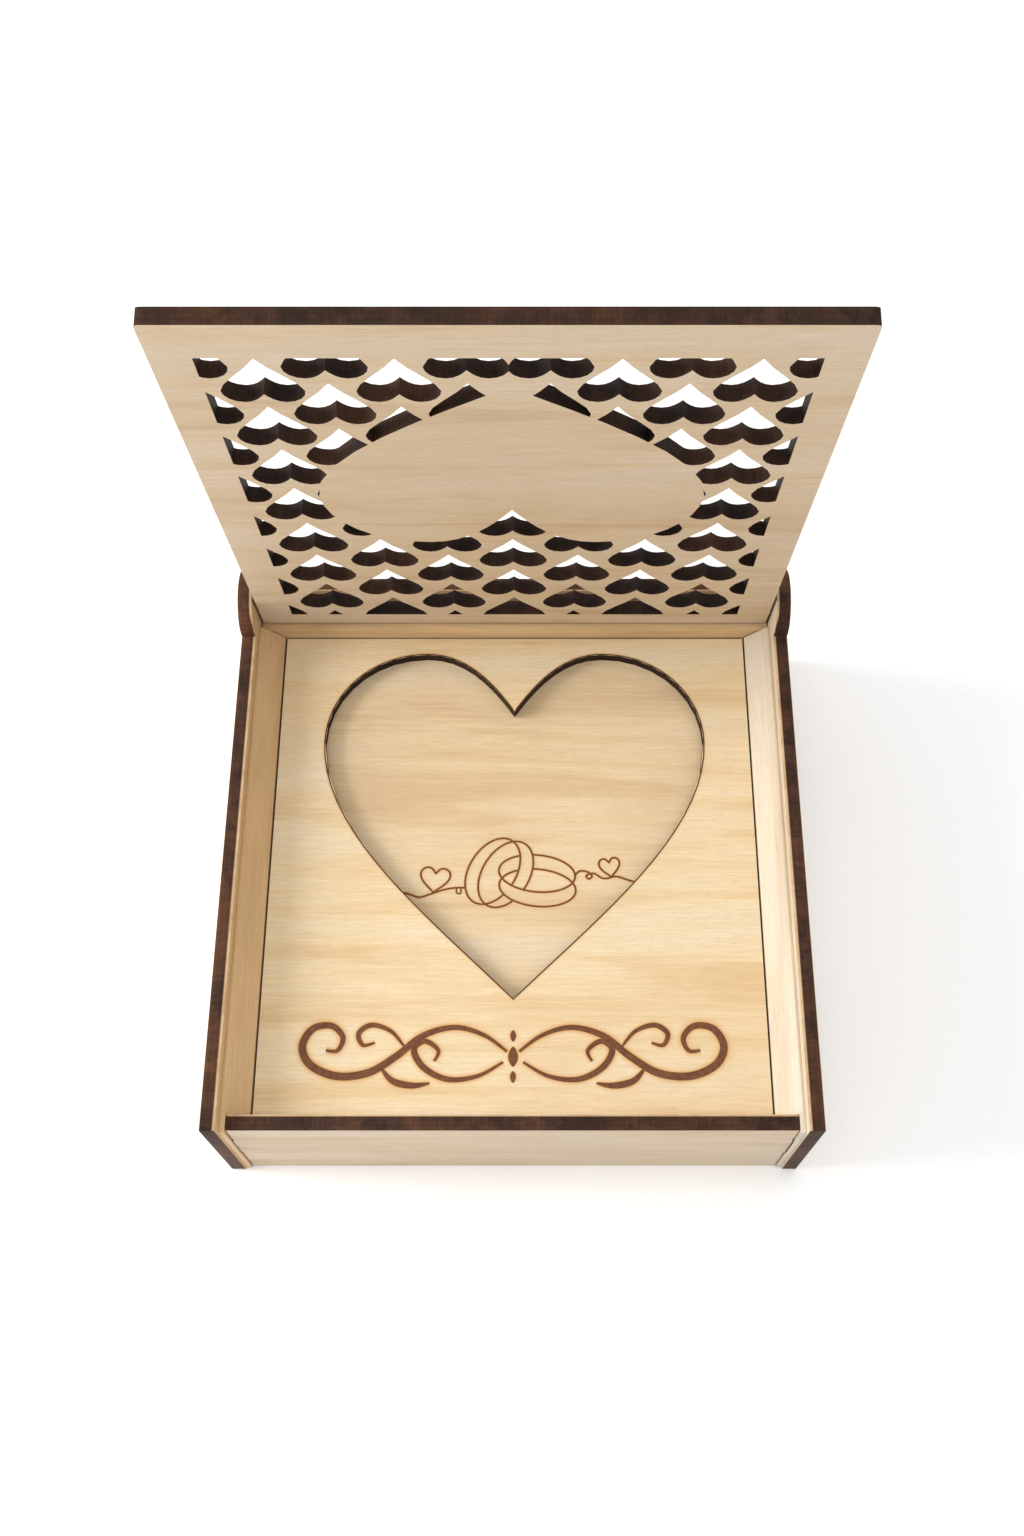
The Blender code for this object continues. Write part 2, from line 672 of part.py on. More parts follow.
def make_crown_gear(bore):
    """Face teeth that point at the barrel and mesh with its toothed flange."""
    inner, outer = CROWN_RING
    tooth_tip, tooth_foot, disc_back = -4.3, -3.1, -1.9
    bm = bmesh.new()
    add_rod(bm, spot3(tooth_foot, DRUM_V, DRUM_Z), spot3(disc_back, DRUM_V, DRUM_Z), outer, 40)
    crown = place("crown_gear", bm, "nylon", smooth=True)
    teeth = bmesh.new()
    for index in range(CROWN_TEETH):
        turn = Matrix.Rotation(2 * math.pi * index / CROWN_TEETH, 4, "X")
        tooth = bmesh.new()
        add_box(tooth, (tooth_tip, -0.29, inner), (tooth_foot + 0.4, 0.29, outer - 0.05))
        bmesh.ops.transform(tooth, matrix=Matrix.Translation(spot3(0, DRUM_V, DRUM_Z)) @ turn,
                            verts=tooth.verts)
        holder = bpy.data.meshes.new("tooth")
        tooth.to_mesh(holder)
        tooth.free()
        teeth.from_mesh(holder)
    join(crown, place("crown_teeth", teeth, None))
    return drill(crown, spot3(tooth_tip - 1, DRUM_V, DRUM_Z), spot3(disc_back + 1, DRUM_V, DRUM_Z),
                 bore, 16)


def spiral_strip(inner, outer, turns, thick, low, high):
    """A flat spring strip wound as a spiral, upright between two heights."""
    steps = int(turns * 20)
    inside, outside = [], []
    for step in range(steps + 1):
        angle = 2 * math.pi * turns * step / steps
        radius = inner + (outer - inner) * step / steps
        inside.append((radius * math.cos(angle), radius * math.sin(angle)))
        outside.append(((radius + thick) * math.cos(angle), (radius + thick) * math.sin(angle)))
    bm = bmesh.new()
    rows = []
    for a, b in zip(inside, outside):
        rows.append([bm.verts.new((a[0], a[1], low)), bm.verts.new((b[0], b[1], low)),
                     bm.verts.new((b[0], b[1], high)), bm.verts.new((a[0], a[1], high))])
    for one, two in zip(rows, rows[1:]):
        for k in range(4):
            bm.faces.new((one[k], one[(k + 1) % 4], two[(k + 1) % 4], two[k]))
    bm.faces.new(list(reversed(rows[0])))
    bm.faces.new(rows[-1])
    bmesh.ops.translate(bm, vec=spot3(BARREL_U, DRUM_V, 0.0), verts=bm.verts)
    return bm


def make_barrel():
    """Spring barrel with a toothed flange, its cap, and the mainspring inside."""
    inner, outer = CROWN_RING
    flange = (DRUM_Z - outer, DRUM_Z - inner)
    root, tip = 9.3, 10.5
    x, y = movement_spot(BARREL_U, DRUM_V)
    half_pitch = math.pi / BARREL_TEETH
    outline = gear_outline(BARREL_TEETH, root, tip, phase=half_pitch)
    barrel = prism("spring_barrel", moved(outline, x, y), *flange, "nylon")
    wall_top = 27.0
    bowl = rod("barrel_wall", (x, y, flange[1] - 0.5), (x, y, wall_top), 8.6, None, 40)
    join(barrel, bowl)
    drill(barrel, (x, y, flange[1]), (x, y, wall_top + 1), 7.8, 40)
    drill(barrel, (x, y, flange[0] - 1), (x, y, flange[1] + 1), ARBOR_RADIUS + GAP, 20)
    cap = rod("barrel_cap", (x, y, wall_top - 1.2), (x, y, wall_top - 0.2), 7.5, "zinc", 40)
    drill(cap, (x, y, wall_top - 2), (x, y, wall_top + 1), ARBOR_RADIUS + GAP, 20)
    strip = spiral_strip(ARBOR_RADIUS + 0.4, 7.2, 6, 0.25, flange[1] + GAP, wall_top - 1.6)
    spring = place("mainspring", strip, "spring", smooth=True)
    hold([barrel, cap, spring], pivot("barrel_axis", (x, y, 0.0)))


def coil(name, radius, wire, turns, low, high, kind):
    """Round wire wound round the barrel's axis, closed at both ends."""
    steps, sides = int(turns * 16), 6
    x, y = movement_spot(BARREL_U, DRUM_V)
    bm = bmesh.new()
    rings = []
    for step in range(steps + 1):
        angle = 2 * math.pi * turns * step / steps
        height = low + (high - low) * step / steps
        ring = []
        for k in range(sides):
            side = 2 * math.pi * k / sides
            reach = radius + wire * math.cos(side)
            ring.append(bm.verts.new((x + reach * math.cos(angle), y + reach * math.sin(angle),
                                      height + wire * math.sin(side))))
        rings.append(ring)
    for one, two in zip(rings, rings[1:]):
        for k in range(sides):
            bm.faces.new((one[k], one[(k + 1) % sides], two[(k + 1) % sides], two[k]))
    bm.faces.new(list(reversed(rings[0])))
    bm.faces.new(rings[-1])
    return place(name, bm, kind, smooth=True)


def wing_outline(x, y):
    """One bow of the butterfly key, seen from the side: width and height."""
    points = [(x - 1.2, y - 2.6)]
    reach = KEY_SPAN / 2
    for step in range(13):
        angle = math.radians(-100 + step * 200 / 12)
        points.append((x - reach + 4.4 - 4.4 * math.cos(angle), y + 3.0 * math.sin(angle)))
    points.append((x - 1.2, y + 2.6))
    return points


def make_key():
    """Butterfly key under the bottom plate, its arbor and the one-way clutch spring."""
    x, y = movement_spot(BARREL_U, DRUM_V)
    arbor = rod("winding_arbor", (x, y, 2.6), (x, y, 26.4), ARBOR_RADIUS, "steel")
    key = rod("winding_key", (x, y, 1.2), (x, y, 8.8), 3.0, "steel", 24)
    middle = 4.6
    for side in (-1, 1):
        outline = [((px - x) * side + x, pz) for px, pz in wing_outline(x, middle)]
        join(key, prism("key_wing", outline, y - 0.8, y + 0.8, None, axes="XZ"))
    drill(key, (x, y, 2.2), (x, y, 10.0), ARBOR_RADIUS + GAP, 20)
    spring = coil("clutch_spring", ARBOR_RADIUS + 0.75, 0.2, 1.75, BED_TOP + 0.4, BED_TOP + 1.2,
                  "spring")
    hold([arbor, key, spring], pivot("key_axis", (x, y, 0.0)))


def make_governor():
    """Air-brake governor: a pinion and worm wheel on one shaft, and the fly on its worm."""
    v, z = governor_axis()
    bore = 0.6 + GAP
    shaft = rod("governor_shaft", spot3(10.2, v, z), spot3(22.2, v, z), 0.6, "steel", 12)
    pinion = axial_gear("governor_pinion", v, z, PINION_TEETH, (18.7, 20.7), mesh_angle() + math.pi, bore)
    outline = gear_outline(WORM_WHEEL_TEETH, WORM_WHEEL_RADIUS - 0.8, WORM_WHEEL_RADIUS)
    low, high = movement_spot(WORM_U - 0.8, 0)[0], movement_spot(WORM_U + 0.8, 0)[0]
    centre = movement_spot(0, v)[1]
    wheel = prism("worm_wheel", moved(outline, centre, z), low, high, "nylon", axes="YZ")
    drill(wheel, spot3(WORM_U - 2, v, z), spot3(WORM_U + 2, v, z), bore, 12)
    hold([shaft, pinion, wheel], pivot("governor_axis", spot3(0, v, z)))
    make_worm()
    make_governor_frame(v, z)


def make_worm():
    v = worm_v()
    x, y = movement_spot(WORM_U, v)
    stations = [(18.0, 0.5, 0.5), (20.0, 0.5, 0.5)]
    stations += [(20.1 + k * 0.28, WORM_RADIUS, 0.72) for k in range(19)]
    stations += [(25.3, 0.5, 0.5), (32.2, 0.5, 0.5)]
    sides = 10
    lead = WORM_STARTS * 2 * math.pi * WORM_WHEEL_RADIUS / WORM_WHEEL_TEETH
    bm = bmesh.new()
    rings = []
    for z, long, short in stations:
        twist = (z - 20.0) * 2 * math.pi / lead
        ring = []
        for k in range(sides):
            angle = 2 * math.pi * k / sides
            px, py = long * math.cos(angle), short * math.sin(angle)
            ring.append(bm.verts.new((x + px * math.cos(twist) - py * math.sin(twist),
                                      y + px * math.sin(twist) + py * math.cos(twist), z)))
        rings.append(ring)
    for one, two in zip(rings, rings[1:]):
        for k in range(sides):
            bm.faces.new((one[k], one[(k + 1) % sides], two[(k + 1) % sides], two[k]))
    bm.faces.new(list(reversed(rings[0])))
    bm.faces.new(rings[-1])
    worm = place("worm_shaft", bm, "steel", smooth=True)
    fly = box("air_brake_fly", (x - 3.2, y - 0.25, 27.9), (x + 3.2, y + 0.25, 32.0), "nylon")
    join(fly, rod("fly_hub", (x, y, 27.9), (x, y, 32.0), 1.4, None, 14))
    drill(fly, (x, y, 27.0), (x, y, 33.0), 0.5 + GAP, 12)
    hold([worm, fly], pivot("fly_axis", (x, y, 0.0)))


def make_governor_frame(v, z):
    low = BED_TOP + GAP
    foot_top = low + 1.2
    worm_at = worm_v()
    frame = movement_box("governor_frame", (9.8, worm_at - 1.6, low), (22.6, v + 3.0, foot_top), "zinc")
    sunk = foot_top - 0.4
    arm_low, arm_high = 25.7, 26.9
    join(frame,
         movement_box("left_cheek", (9.8, v - 2.2, sunk), (11.0, v + 2.2, z + 2.0)),
         movement_box("right_cheek", (21.4, v - 2.2, sunk), (22.6, v + 2.2, z + 2.0)),
         movement_box("arm_post", (9.8, worm_at - 1.6, sunk), (11.0, worm_at + 1.6, arm_high)),
         movement_box("arm", (9.8, worm_at - 1.6, arm_low), (17.6, worm_at + 1.6, arm_high)))
    for start, end in ((9.0, 11.6), (20.9, 23.0)):
        drill(frame, spot3(start, v, z), spot3(end, v, z), 0.6 + GAP, 12)
    drill(frame, spot3(WORM_U, worm_at, 17.8), spot3(WORM_U, worm_at, 28.0), 0.5 + GAP, 12)
    for u, w in GOVERNOR_SCREWS:
        drill(frame, spot3(u, w, low - 1), spot3(u, w, foot_top + 1), 1.1, 14)


def make_movement():
    make_bed()
    make_comb()
    make_screws()
    make_drum()
    make_barrel()
    make_key()
    make_governor()


clear_scene()
make_box()
make_lid()
make_movement()
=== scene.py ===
import json
import math

import bmesh
import bpy
from mathutils import Matrix, Vector


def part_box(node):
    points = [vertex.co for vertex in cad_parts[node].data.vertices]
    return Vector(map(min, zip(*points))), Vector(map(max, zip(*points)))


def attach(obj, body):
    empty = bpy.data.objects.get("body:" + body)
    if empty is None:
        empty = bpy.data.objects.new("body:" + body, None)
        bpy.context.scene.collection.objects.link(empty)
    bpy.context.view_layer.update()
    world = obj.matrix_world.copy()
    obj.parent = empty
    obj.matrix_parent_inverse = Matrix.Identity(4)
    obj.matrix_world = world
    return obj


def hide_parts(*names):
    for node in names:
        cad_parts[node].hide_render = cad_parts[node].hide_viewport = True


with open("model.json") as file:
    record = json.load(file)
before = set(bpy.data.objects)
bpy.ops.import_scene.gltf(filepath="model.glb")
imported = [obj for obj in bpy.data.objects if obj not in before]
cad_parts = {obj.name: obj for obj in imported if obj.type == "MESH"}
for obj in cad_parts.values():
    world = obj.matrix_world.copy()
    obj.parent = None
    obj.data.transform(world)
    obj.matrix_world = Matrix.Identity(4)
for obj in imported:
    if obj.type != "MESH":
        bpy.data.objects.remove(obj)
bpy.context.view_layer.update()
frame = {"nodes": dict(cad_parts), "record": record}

MM = 0.001
DEPTH = 156.6                   # of the case; the engraving is placed by its depth from the front
LID_TURN = math.radians(81.0)   # from the open rest pose to shut
LID_HALF_PLY = 2.0 * MM
HINGE = Vector((0.0, (146.4 - DEPTH / 2) * MM, 46.3 * MM))
SEAM = 0.28 * MM                # closes the gap between a liner and its wall
LATTICE_HALF = 70.0 * MM        # the lid's cut edges within this half-width belong to its holes
LATTICE_DEPTHS = (-150.0 * MM, -1.0 * MM)
LINE = 0.44                     # engraved line of the ring motif
SCORCH_REACH = 1.3


# ------------------------------------------------------------------ small helpers

def at_depth(depth):
    return depth - DEPTH / 2


def opaque(r, g, b):
    return (r, g, b, 1.0)


def add_piece(name, mesh):
    piece = bpy.data.objects.new(name, mesh)
    bpy.context.scene.collection.objects.link(piece)
    return piece


class Nodes:
    """Short way to write a node tree."""

    def __init__(self, material):
        material.use_nodes = True
        self.tree = material.node_tree
        self.tree.nodes.clear()

    def add(self, kind, settings=None, **sockets):
        node = self.tree.nodes.new(kind)
        for key, value in (settings or {}).items():
            setattr(node, key, value)
        for key, value in sockets.items():
            numbered = key[0] == "i" and key[1:].isdigit()
            socket = node.inputs[int(key[1:]) if numbered else key.replace("_", " ")]
            if isinstance(value, bpy.types.NodeSocket):
                self.tree.links.new(value, socket)
            else:
                socket.default_value = value
        return node

    def math(self, operation, a, b=0.0, clamp=False):
        node = self.add("ShaderNodeMath", {"operation": operation, "use_clamp": clamp}, i0=a, i1=b)
        return node.outputs[0]

    def mix(self, factor, a, b, blend="MIX"):
        node = self.add("ShaderNodeMix", {"data_type": "RGBA", "blend_type": blend}, i0=factor, i6=a, i7=b)
        return node.outputs[2]

    def ramp(self, factor, stops, ease="LINEAR"):
        node = self.add("ShaderNodeValToRGB", i0=factor)
        node.color_ramp.interpolation = ease
        elements = node.color_ramp.elements
        while len(elements) < len(stops):
            elements.new(0.5)
        for element, (place, colour) in zip(elements, stops):
            element.position = place
            element.color = colour if len(colour) == 4 else (*colour, 1.0)
        return node.outputs[0]

    def smooth(self, value, low, high):
        node = self.add("ShaderNodeMapRange", {"interpolation_type": "SMOOTHSTEP"},
                        i0=value, i1=low, i2=high, i3=0.0, i4=1.0)
        return node.outputs[0]

    def noise(self, vector, scale, detail=4.0, rough=0.55, distort=0.0):
        node = self.add("ShaderNodeTexNoise", Vector=vector, Scale=scale, Detail=detail,
                        Roughness=rough, Distortion=distort)
        return node.outputs[0]

    def scaled(self, vector, scale, shift=(0.0, 0.0, 0.0)):
        node = self.add("ShaderNodeMapping", Vector=vector, Scale=scale, Location=shift)
        return node.outputs[0]

    def finish(self, **sockets):
        shader = self.add("ShaderNodeBsdfPrincipled", None, **sockets)
        out = self.add("ShaderNodeOutputMaterial")
        self.tree.links.new(shader.outputs[0], out.inputs[0])
        return shader


def panel_space(n, tilted):
    """Object coordinates; for the lid they are turned back to its closed place."""
    place = n.add("ShaderNodeTexCoord").outputs["Object"]
    if not tilted:
        return place
    turned = n.add("ShaderNodeVectorRotate", {"rotation_type": "X_AXIS"}, Vector=place,
                   Center=HINGE, Angle=LID_TURN)
    return turned.outputs[0]


def veneer(name, grain, pale, tan, tilted=False, shift=0.0, streaks=1.0):
    """Sanded birch face: long soft bands, fine fibres, short pores, and laser browning."""
    material = bpy.data.materials.new(name)
    n = Nodes(material)
    place = panel_space(n, tilted)
    along = 0 if grain == "X" else 1

    def stretched(low, high):
        scale = [high] * 3
        scale[along] = low
        return n.scaled(place, tuple(scale), (shift, shift * 1.7, shift * 0.6))

    bands = n.noise(stretched(9.0, 95.0), 1.0, 5.0, 0.6, 0.7)
    waves = n.noise(stretched(3.0, 26.0), 1.0, 3.0, 0.5, 1.2)
    fibres = n.noise(stretched(70.0, 1900.0), 1.0, 3.0, 0.7)
    pores = n.noise(stretched(260.0, 3000.0), 1.0, 2.0, 0.5)
    cloud = n.noise(n.scaled(place, (26.0, 26.0, 26.0), (shift, 0.3, 0.1)), 1.0, 3.0, 0.55)
    golden = tuple(a * b for a, b in zip(pale[:3], (1.0, 0.95, 0.84)))
    base = n.ramp(n.smooth(bands, 0.3, 0.72), [(0.0, pale), (0.55, golden), (1.0, tan)])
    base = n.mix(n.math("MULTIPLY", n.smooth(waves, 0.42, 0.75), 0.30 * streaks), base, tan)
    base = n.mix(n.math("MULTIPLY", n.smooth(cloud, 0.5, 0.8), 0.22), base, (*golden, 1.0), "MULTIPLY")
    fibre_tone = n.ramp(fibres, [(0.25, (0.86, 0.83, 0.78)), (0.75, (1.04, 1.04, 1.04))])
    base = n.mix(1.0, base, fibre_tone, "MULTIPLY")
    flecks = n.noise(stretched(380.0, 1500.0), 1.0, 4.0, 0.7)
    base = n.mix(n.math("MULTIPLY", n.smooth(flecks, 0.46, 0.66), 0.45), base, tan)
    pore_mask = n.math("MULTIPLY", n.smooth(pores, 0.66, 0.76), 0.35)
    base = n.mix(pore_mask, base, opaque(*[c * 0.45 for c in tan[:3]]))
    burn = n.add("ShaderNodeAttribute", {"attribute_name": "burn"}).outputs["Fac"]
    grit = n.noise(n.scaled(place, (900.0, 900.0, 900.0)), 1.0, 3.0, 0.6)
    rough_burn = n.math("ADD", burn, n.math("MULTIPLY", n.math("SUBTRACT", grit, 0.5),
                                            n.math("MULTIPLY", burn, 0.35)))
    base = n.mix(n.smooth(rough_burn, 0.0, 0.55), base, opaque(0.56, 0.30, 0.105))
    base = n.mix(n.smooth(rough_burn, 0.5, 0.85), base,
                 n.ramp(grit, [(0.3, (0.085, 0.027, 0.008)), (0.75, (0.18, 0.062, 0.017))]))
    base = n.mix(n.smooth(rough_burn, 1.2, 1.7), base, opaque(0.030, 0.014, 0.007))
    height = n.math("ADD", n.math("MULTIPLY", fibres, 0.7), n.math("MULTIPLY", bands, 0.5))
    height = n.math("SUBTRACT", height, n.math("MULTIPLY", pore_mask, 0.8))
    bump = n.add("ShaderNodeBump", Strength=0.22, Distance=0.00012, Height=height).outputs[0]
    gloss = n.ramp(bands, [(0.3, (0.50, 0.50, 0.50)), (0.75, (0.66, 0.66, 0.66))])
    shader = n.finish(Base_Color=base, Roughness=gloss, Normal=bump)
    shader.inputs["Specular IOR Level"].default_value = 0.32
    return material


def charred(name, across, low, high, light_low=0.0, light_high=0.0, tilted=False, red=1.0, depth=1.0):
    """Laser-cut edge of plywood: dark and mottled, with faint plies.

    across is the panel's thickness axis, and low and high are its faces along it.
    light_low and light_high are the widths, in millimetres, of the real pale ply at those faces;
    on an upward-facing edge the band is drawn wider than on an upright one, as painted light.
    red is the share of reddish patches. depth scales the lightness, so a smaller value is darker.
    """
    material = bpy.data.materials.new(name)
    n = Nodes(material)
    place = panel_space(n, tilted)
    split = n.add("ShaderNodeSeparateXYZ", Vector=place)
    axis = "XYZ".index(across)
    t = n.math("DIVIDE", n.math("SUBTRACT", split.outputs[axis], low), high - low)
    stretch = [1500.0, 1500.0, 1500.0]
    stretch[axis] = 170.0
    lines = n.noise(n.scaled(place, tuple(stretch)), 1.0, 4.0, 0.65)
    mottle = n.noise(n.scaled(place, (150.0, 150.0, 150.0)), 1.0, 5.0, 0.7, 0.4)
    patches = n.noise(n.scaled(place, (28.0, 28.0, 28.0), (0.4, 0.1, 0.7)), 1.0, 3.0, 0.6)
    dark = tuple(c * depth for c in (0.030, 0.0130, 0.0070))
    middle = tuple(c * depth for c in (0.062, 0.0280, 0.0150))
    light = tuple(c * depth for c in (0.105, 0.0450, 0.0225))
    tone = n.ramp(n.smooth(mottle, 0.3, 0.75), [(0.0, dark), (0.5, middle), (1.0, light)])
    tone = n.mix(n.math("MULTIPLY", n.smooth(patches, 0.42, 0.72), 0.5 * red), tone,
                 opaque(0.165, 0.062, 0.022))
    stripe = n.ramp(lines, [(0.25, (0.62, 0.60, 0.58)), (0.75, (1.38, 1.34, 1.30))])
    tone = n.mix(1.0, tone, stripe, "MULTIPLY")
    plies = n.math("PINGPONG", n.math("MULTIPLY", t, 3.0), 0.5)
    ply_tone = n.ramp(plies, [(0.0, (0.84, 0.82, 0.8)), (0.5, (1.15, 1.15, 1.15))])
    tone = n.mix(0.6, tone, ply_tone, "MULTIPLY")
    wobble = n.math("MULTIPLY", n.math("SUBTRACT", mottle, 0.5), 0.06)
    pale = n.ramp(mottle, [(0.25, (0.34, 0.195, 0.095)), (0.7, (0.66, 0.47, 0.28))])
    # Upward-facing cut edges get a wider pale band: painted light on their tops; the pale ply itself is real.
    facing = n.add("ShaderNodeNewGeometry").outputs["Normal"]
    painted_top_light = n.smooth(n.add("ShaderNodeSeparateXYZ", Vector=facing).outputs[2], 0.3, 0.7)
    reach = n.math("ADD", 0.3, n.math("MULTIPLY", painted_top_light, 0.7))
    for width, side in ((light_low, 0), (light_high, 1)):
        if width:
            share = width * MM / (high - low)
            distance = t if side == 0 else n.math("SUBTRACT", 1.0, t)
            edge = n.math("DIVIDE", n.math("ADD", distance, wobble), reach)
            mask = n.math("SUBTRACT", 1.0, n.smooth(edge, share * 0.75, share * 1.3))
            tone = n.mix(mask, tone, pale)
    height = n.math("ADD", lines, n.math("MULTIPLY", mottle, 0.6))
    bump = n.add("ShaderNodeBump", Strength=0.5, Distance=0.00015, Height=height).outputs[0]
    shader = n.finish(Base_Color=tone, Roughness=0.66, Normal=bump)
    shader.inputs["Specular IOR Level"].default_value = 0.16
    return material


def metal(name, colour, rough, brush_axis="X", mottled=0.15, kind=1.0):
    material = bpy.data.materials.new(name)
    n = Nodes(material)
    place = panel_space(n, False)
    scale = [2600.0, 2600.0, 2600.0]
    scale["XYZ".index(brush_axis)] = 140.0
    brushed = n.noise(n.scaled(place, tuple(scale)), 1.0, 3.0, 0.6)
    soil = n.noise(n.scaled(place, (190.0, 190.0, 190.0)), 1.0, 4.0, 0.6)
    dull = tuple(c * (1.0 - 1.6 * mottled) for c in colour)
    base = n.mix(n.smooth(soil, 0.4, 0.75), (*colour, 1.0), (*dull, 1.0))
    gloss = n.ramp(brushed, [(0.25, (rough * 0.75,) * 3), (0.75, (rough * 1.3,) * 3)])
    bump = n.add("ShaderNodeBump", Strength=0.25, Distance=0.00005, Height=brushed).outputs[0]
    n.finish(Base_Color=base, Roughness=gloss, Normal=bump, Metallic=kind)
    return material


def moulded(name, colour):
    """Off-white nylon with a slight mould texture."""
    material = bpy.data.materials.new(name)
    n = Nodes(material)
    place = panel_space(n, False)
    grain = n.noise(n.scaled(place, (2200.0, 2200.0, 2200.0)), 1.0, 3.0, 0.6)
    tint = n.noise(n.scaled(place, (120.0, 120.0, 120.0)), 1.0, 3.0, 0.5)
    base = n.mix(n.smooth(tint, 0.35, 0.75), (*colour, 1.0), (*[c * 0.86 for c in colour], 1.0))
    bump = n.add("ShaderNodeBump", Strength=0.15, Distance=0.00005, Height=grain).outputs[0]
    n.finish(Base_Color=base, Roughness=n.ramp(grain, [(0.3, (0.38,) * 3), (0.7, (0.5,) * 3)]), Normal=bump)
    return material


# ------------------------------------------------------------------ panels from the frame

def panel(node, name, body, face, edge, axis, bevel=0.0, tilted=False):
    """Replaces a panel by a copy whose flat faces and cut edges have their own materials."""
    bm = bmesh.new()
    bm.from_mesh(frame["nodes"][node].data)
    bmesh.ops.remove_doubles(bm, verts=bm.verts, dist=2e-6)
    bmesh.ops.dissolve_degenerate(bm, dist=2e-6, edges=bm.edges)
    bmesh.ops.recalc_face_normals(bm, faces=bm.faces)
    turn = Matrix.Rotation(LID_TURN, 3, "X") if tilted else Matrix.Identity(3)
    bm.normal_update()
    if bevel:
        bmesh.ops.dissolve_limit(bm, angle_limit=math.radians(0.6), verts=bm.verts, edges=bm.edges)
    for f in bm.faces:
        f.material_index = 0 if abs((turn @ f.normal)[axis]) > 0.7 else 1
    if bevel:
        sharp = [e for e in bm.edges if len(e.link_faces) == 2 and e.calc_face_angle(0) > math.radians(40)]
        bmesh.ops.bevel(bm, geom=sharp, offset=bevel, segments=2, profile=0.6, affect="EDGES",
                        clamp_overlap=True, material=-1)
    mesh = bpy.data.meshes.new(name)
    bm.to_mesh(mesh)
    bm.free()
    for spare in [a for a in mesh.attributes if a.name == "custom_normal"]:
        mesh.attributes.remove(spare)
    mesh.materials.append(face)
    mesh.materials.append(edge)
    mesh.shade_smooth()
    mesh.set_sharp_from_angle(angle=math.radians(32))
    piece = add_piece(name, mesh)
    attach(piece, body)
    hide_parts(node)
    return piece


def span(node, axis):
    low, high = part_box(node)
    return low[axis], high[axis]


DECK_PALE, DECK_TAN = (0.715, 0.60, 0.425, 1.0), (0.635, 0.455, 0.25, 1.0)
FLOOR_PALE, FLOOR_TAN = (0.69, 0.56, 0.39, 1.0), (0.59, 0.425, 0.25, 1.0)
FRONT_PALE, FRONT_TAN = (0.64, 0.53, 0.41, 1.0), (0.53, 0.405, 0.29, 1.0)
LID_PALE, LID_TAN = (0.65, 0.54, 0.42, 1.0), (0.555, 0.41, 0.265, 1.0)
# The battens are one wood: the darker, warmer palette is painted shade (left and rear), the paler, brighter
# one is painted light (right).
PAINTED_SHADE_PALE, PAINTED_SHADE_TAN = (0.64, 0.46, 0.27, 1.0), (0.56, 0.37, 0.19, 1.0)
PAINTED_LIGHT_PALE, PAINTED_LIGHT_TAN = (0.62, 0.56, 0.475, 1.0), (0.55, 0.455, 0.34, 1.0)

deck_face = veneer("deck_veneer", "X", DECK_PALE, DECK_TAN, shift=0.13)
floor_face = veneer("heart_floor_veneer", "X", FLOOR_PALE, FLOOR_TAN, shift=2.31)
front_face = veneer("front_veneer", "X", FRONT_PALE, FRONT_TAN, shift=4.7, streaks=0.7)
back_face = veneer("back_veneer", "X", FRONT_PALE, FRONT_TAN, shift=6.1, streaks=0.9)
side_face = veneer("side_veneer", "Y", FRONT_PALE, FRONT_TAN, shift=1.9)
plate_face = veneer("plate_veneer", "X", FRONT_PALE, FRONT_TAN, shift=8.3)
lid_face = veneer("lid_veneer", "X", LID_PALE, LID_TAN, tilted=True, shift=3.4)
# Left batten: painted shade; right batten: painted light; the rear batten shares the painted-shade palette.
batten_faces = {"left": veneer("left_batten_painted_shade", "Y", PAINTED_SHADE_PALE, PAINTED_SHADE_TAN, shift=5.5, streaks=0.6),
                "right": veneer("right_batten_painted_light", "Y", PAINTED_LIGHT_PALE, PAINTED_LIGHT_TAN, shift=9.2, streaks=0.5)}
rear_face = veneer("rear_batten_painted_shade", "X", PAINTED_SHADE_PALE, PAINTED_SHADE_TAN, shift=7.5, streaks=0.6)

for side in ("left", "right"):
    low, high = span(f"side_wall_{side}", 0)
    pale = {"left": (0.15, 0.7), "right": (0.7, 0.15)}[side]
    edge = charred(f"side_{side}_cut_edge", "X", low, high, *pale, depth=0.78)
    wall = panel(f"side_wall_{side}", f"side_panel_{side}", "case", side_face, edge, 0,
                 bevel=0.00022)
    # Each side wall's inner face takes its batten's material, so it carries the same painted shade (left) or
    # painted light (right).
    batten_face = batten_faces[side]
    wall.data.materials.append(batten_face)
    outward = -1 if side == "left" else 1
    for face in wall.data.polygons:
        if face.normal.x * outward < -0.9:
            face.material_index = 2
    liner = panel(f"side_liner_{side}", f"bevelled_liner_{side}", "case", batten_face,
                  batten_face, 0, bevel=0.00018)
    outer = max(abs(v.co.x) for v in liner.data.vertices)
    for v in liner.data.vertices:
        if abs(v.co.x) > outer - SEAM:
            v.co.x += outward * SEAM

low, high = span("front_wall", 1)
front_edge = charred("front_cut_edge", "Y", low, high, 0.0, 0.45, red=0.25, depth=0.72)
panel("front_wall", "front_panel", "case", front_face, front_edge, 1, bevel=0.0002)
low, high = span("back_wall", 1)
back_edge = charred("back_cut_edge", "Y", low, high, 0.3, 0.0)
panel("back_wall", "back_panel", "case", back_face, back_edge, 1, bevel=0.0002)
panel("rear_liner", "rear_batten", "case", rear_face, rear_face, 1, bevel=0.00018)
low, high = span("bottom_plate", 2)
plate_edge = charred("plate_cut_edge", "Z", low, high)
panel("bottom_plate", "bottom_panel", "case", plate_face, plate_edge, 2)
low, high = span("deck_panel", 2)
deck_edge = charred("deck_cut_edge", "Z", low, high, red=0.1, depth=0.35)
panel("deck_panel", "deck", "case", deck_face, deck_edge, 2)
low, high = span("heart_floor", 2)
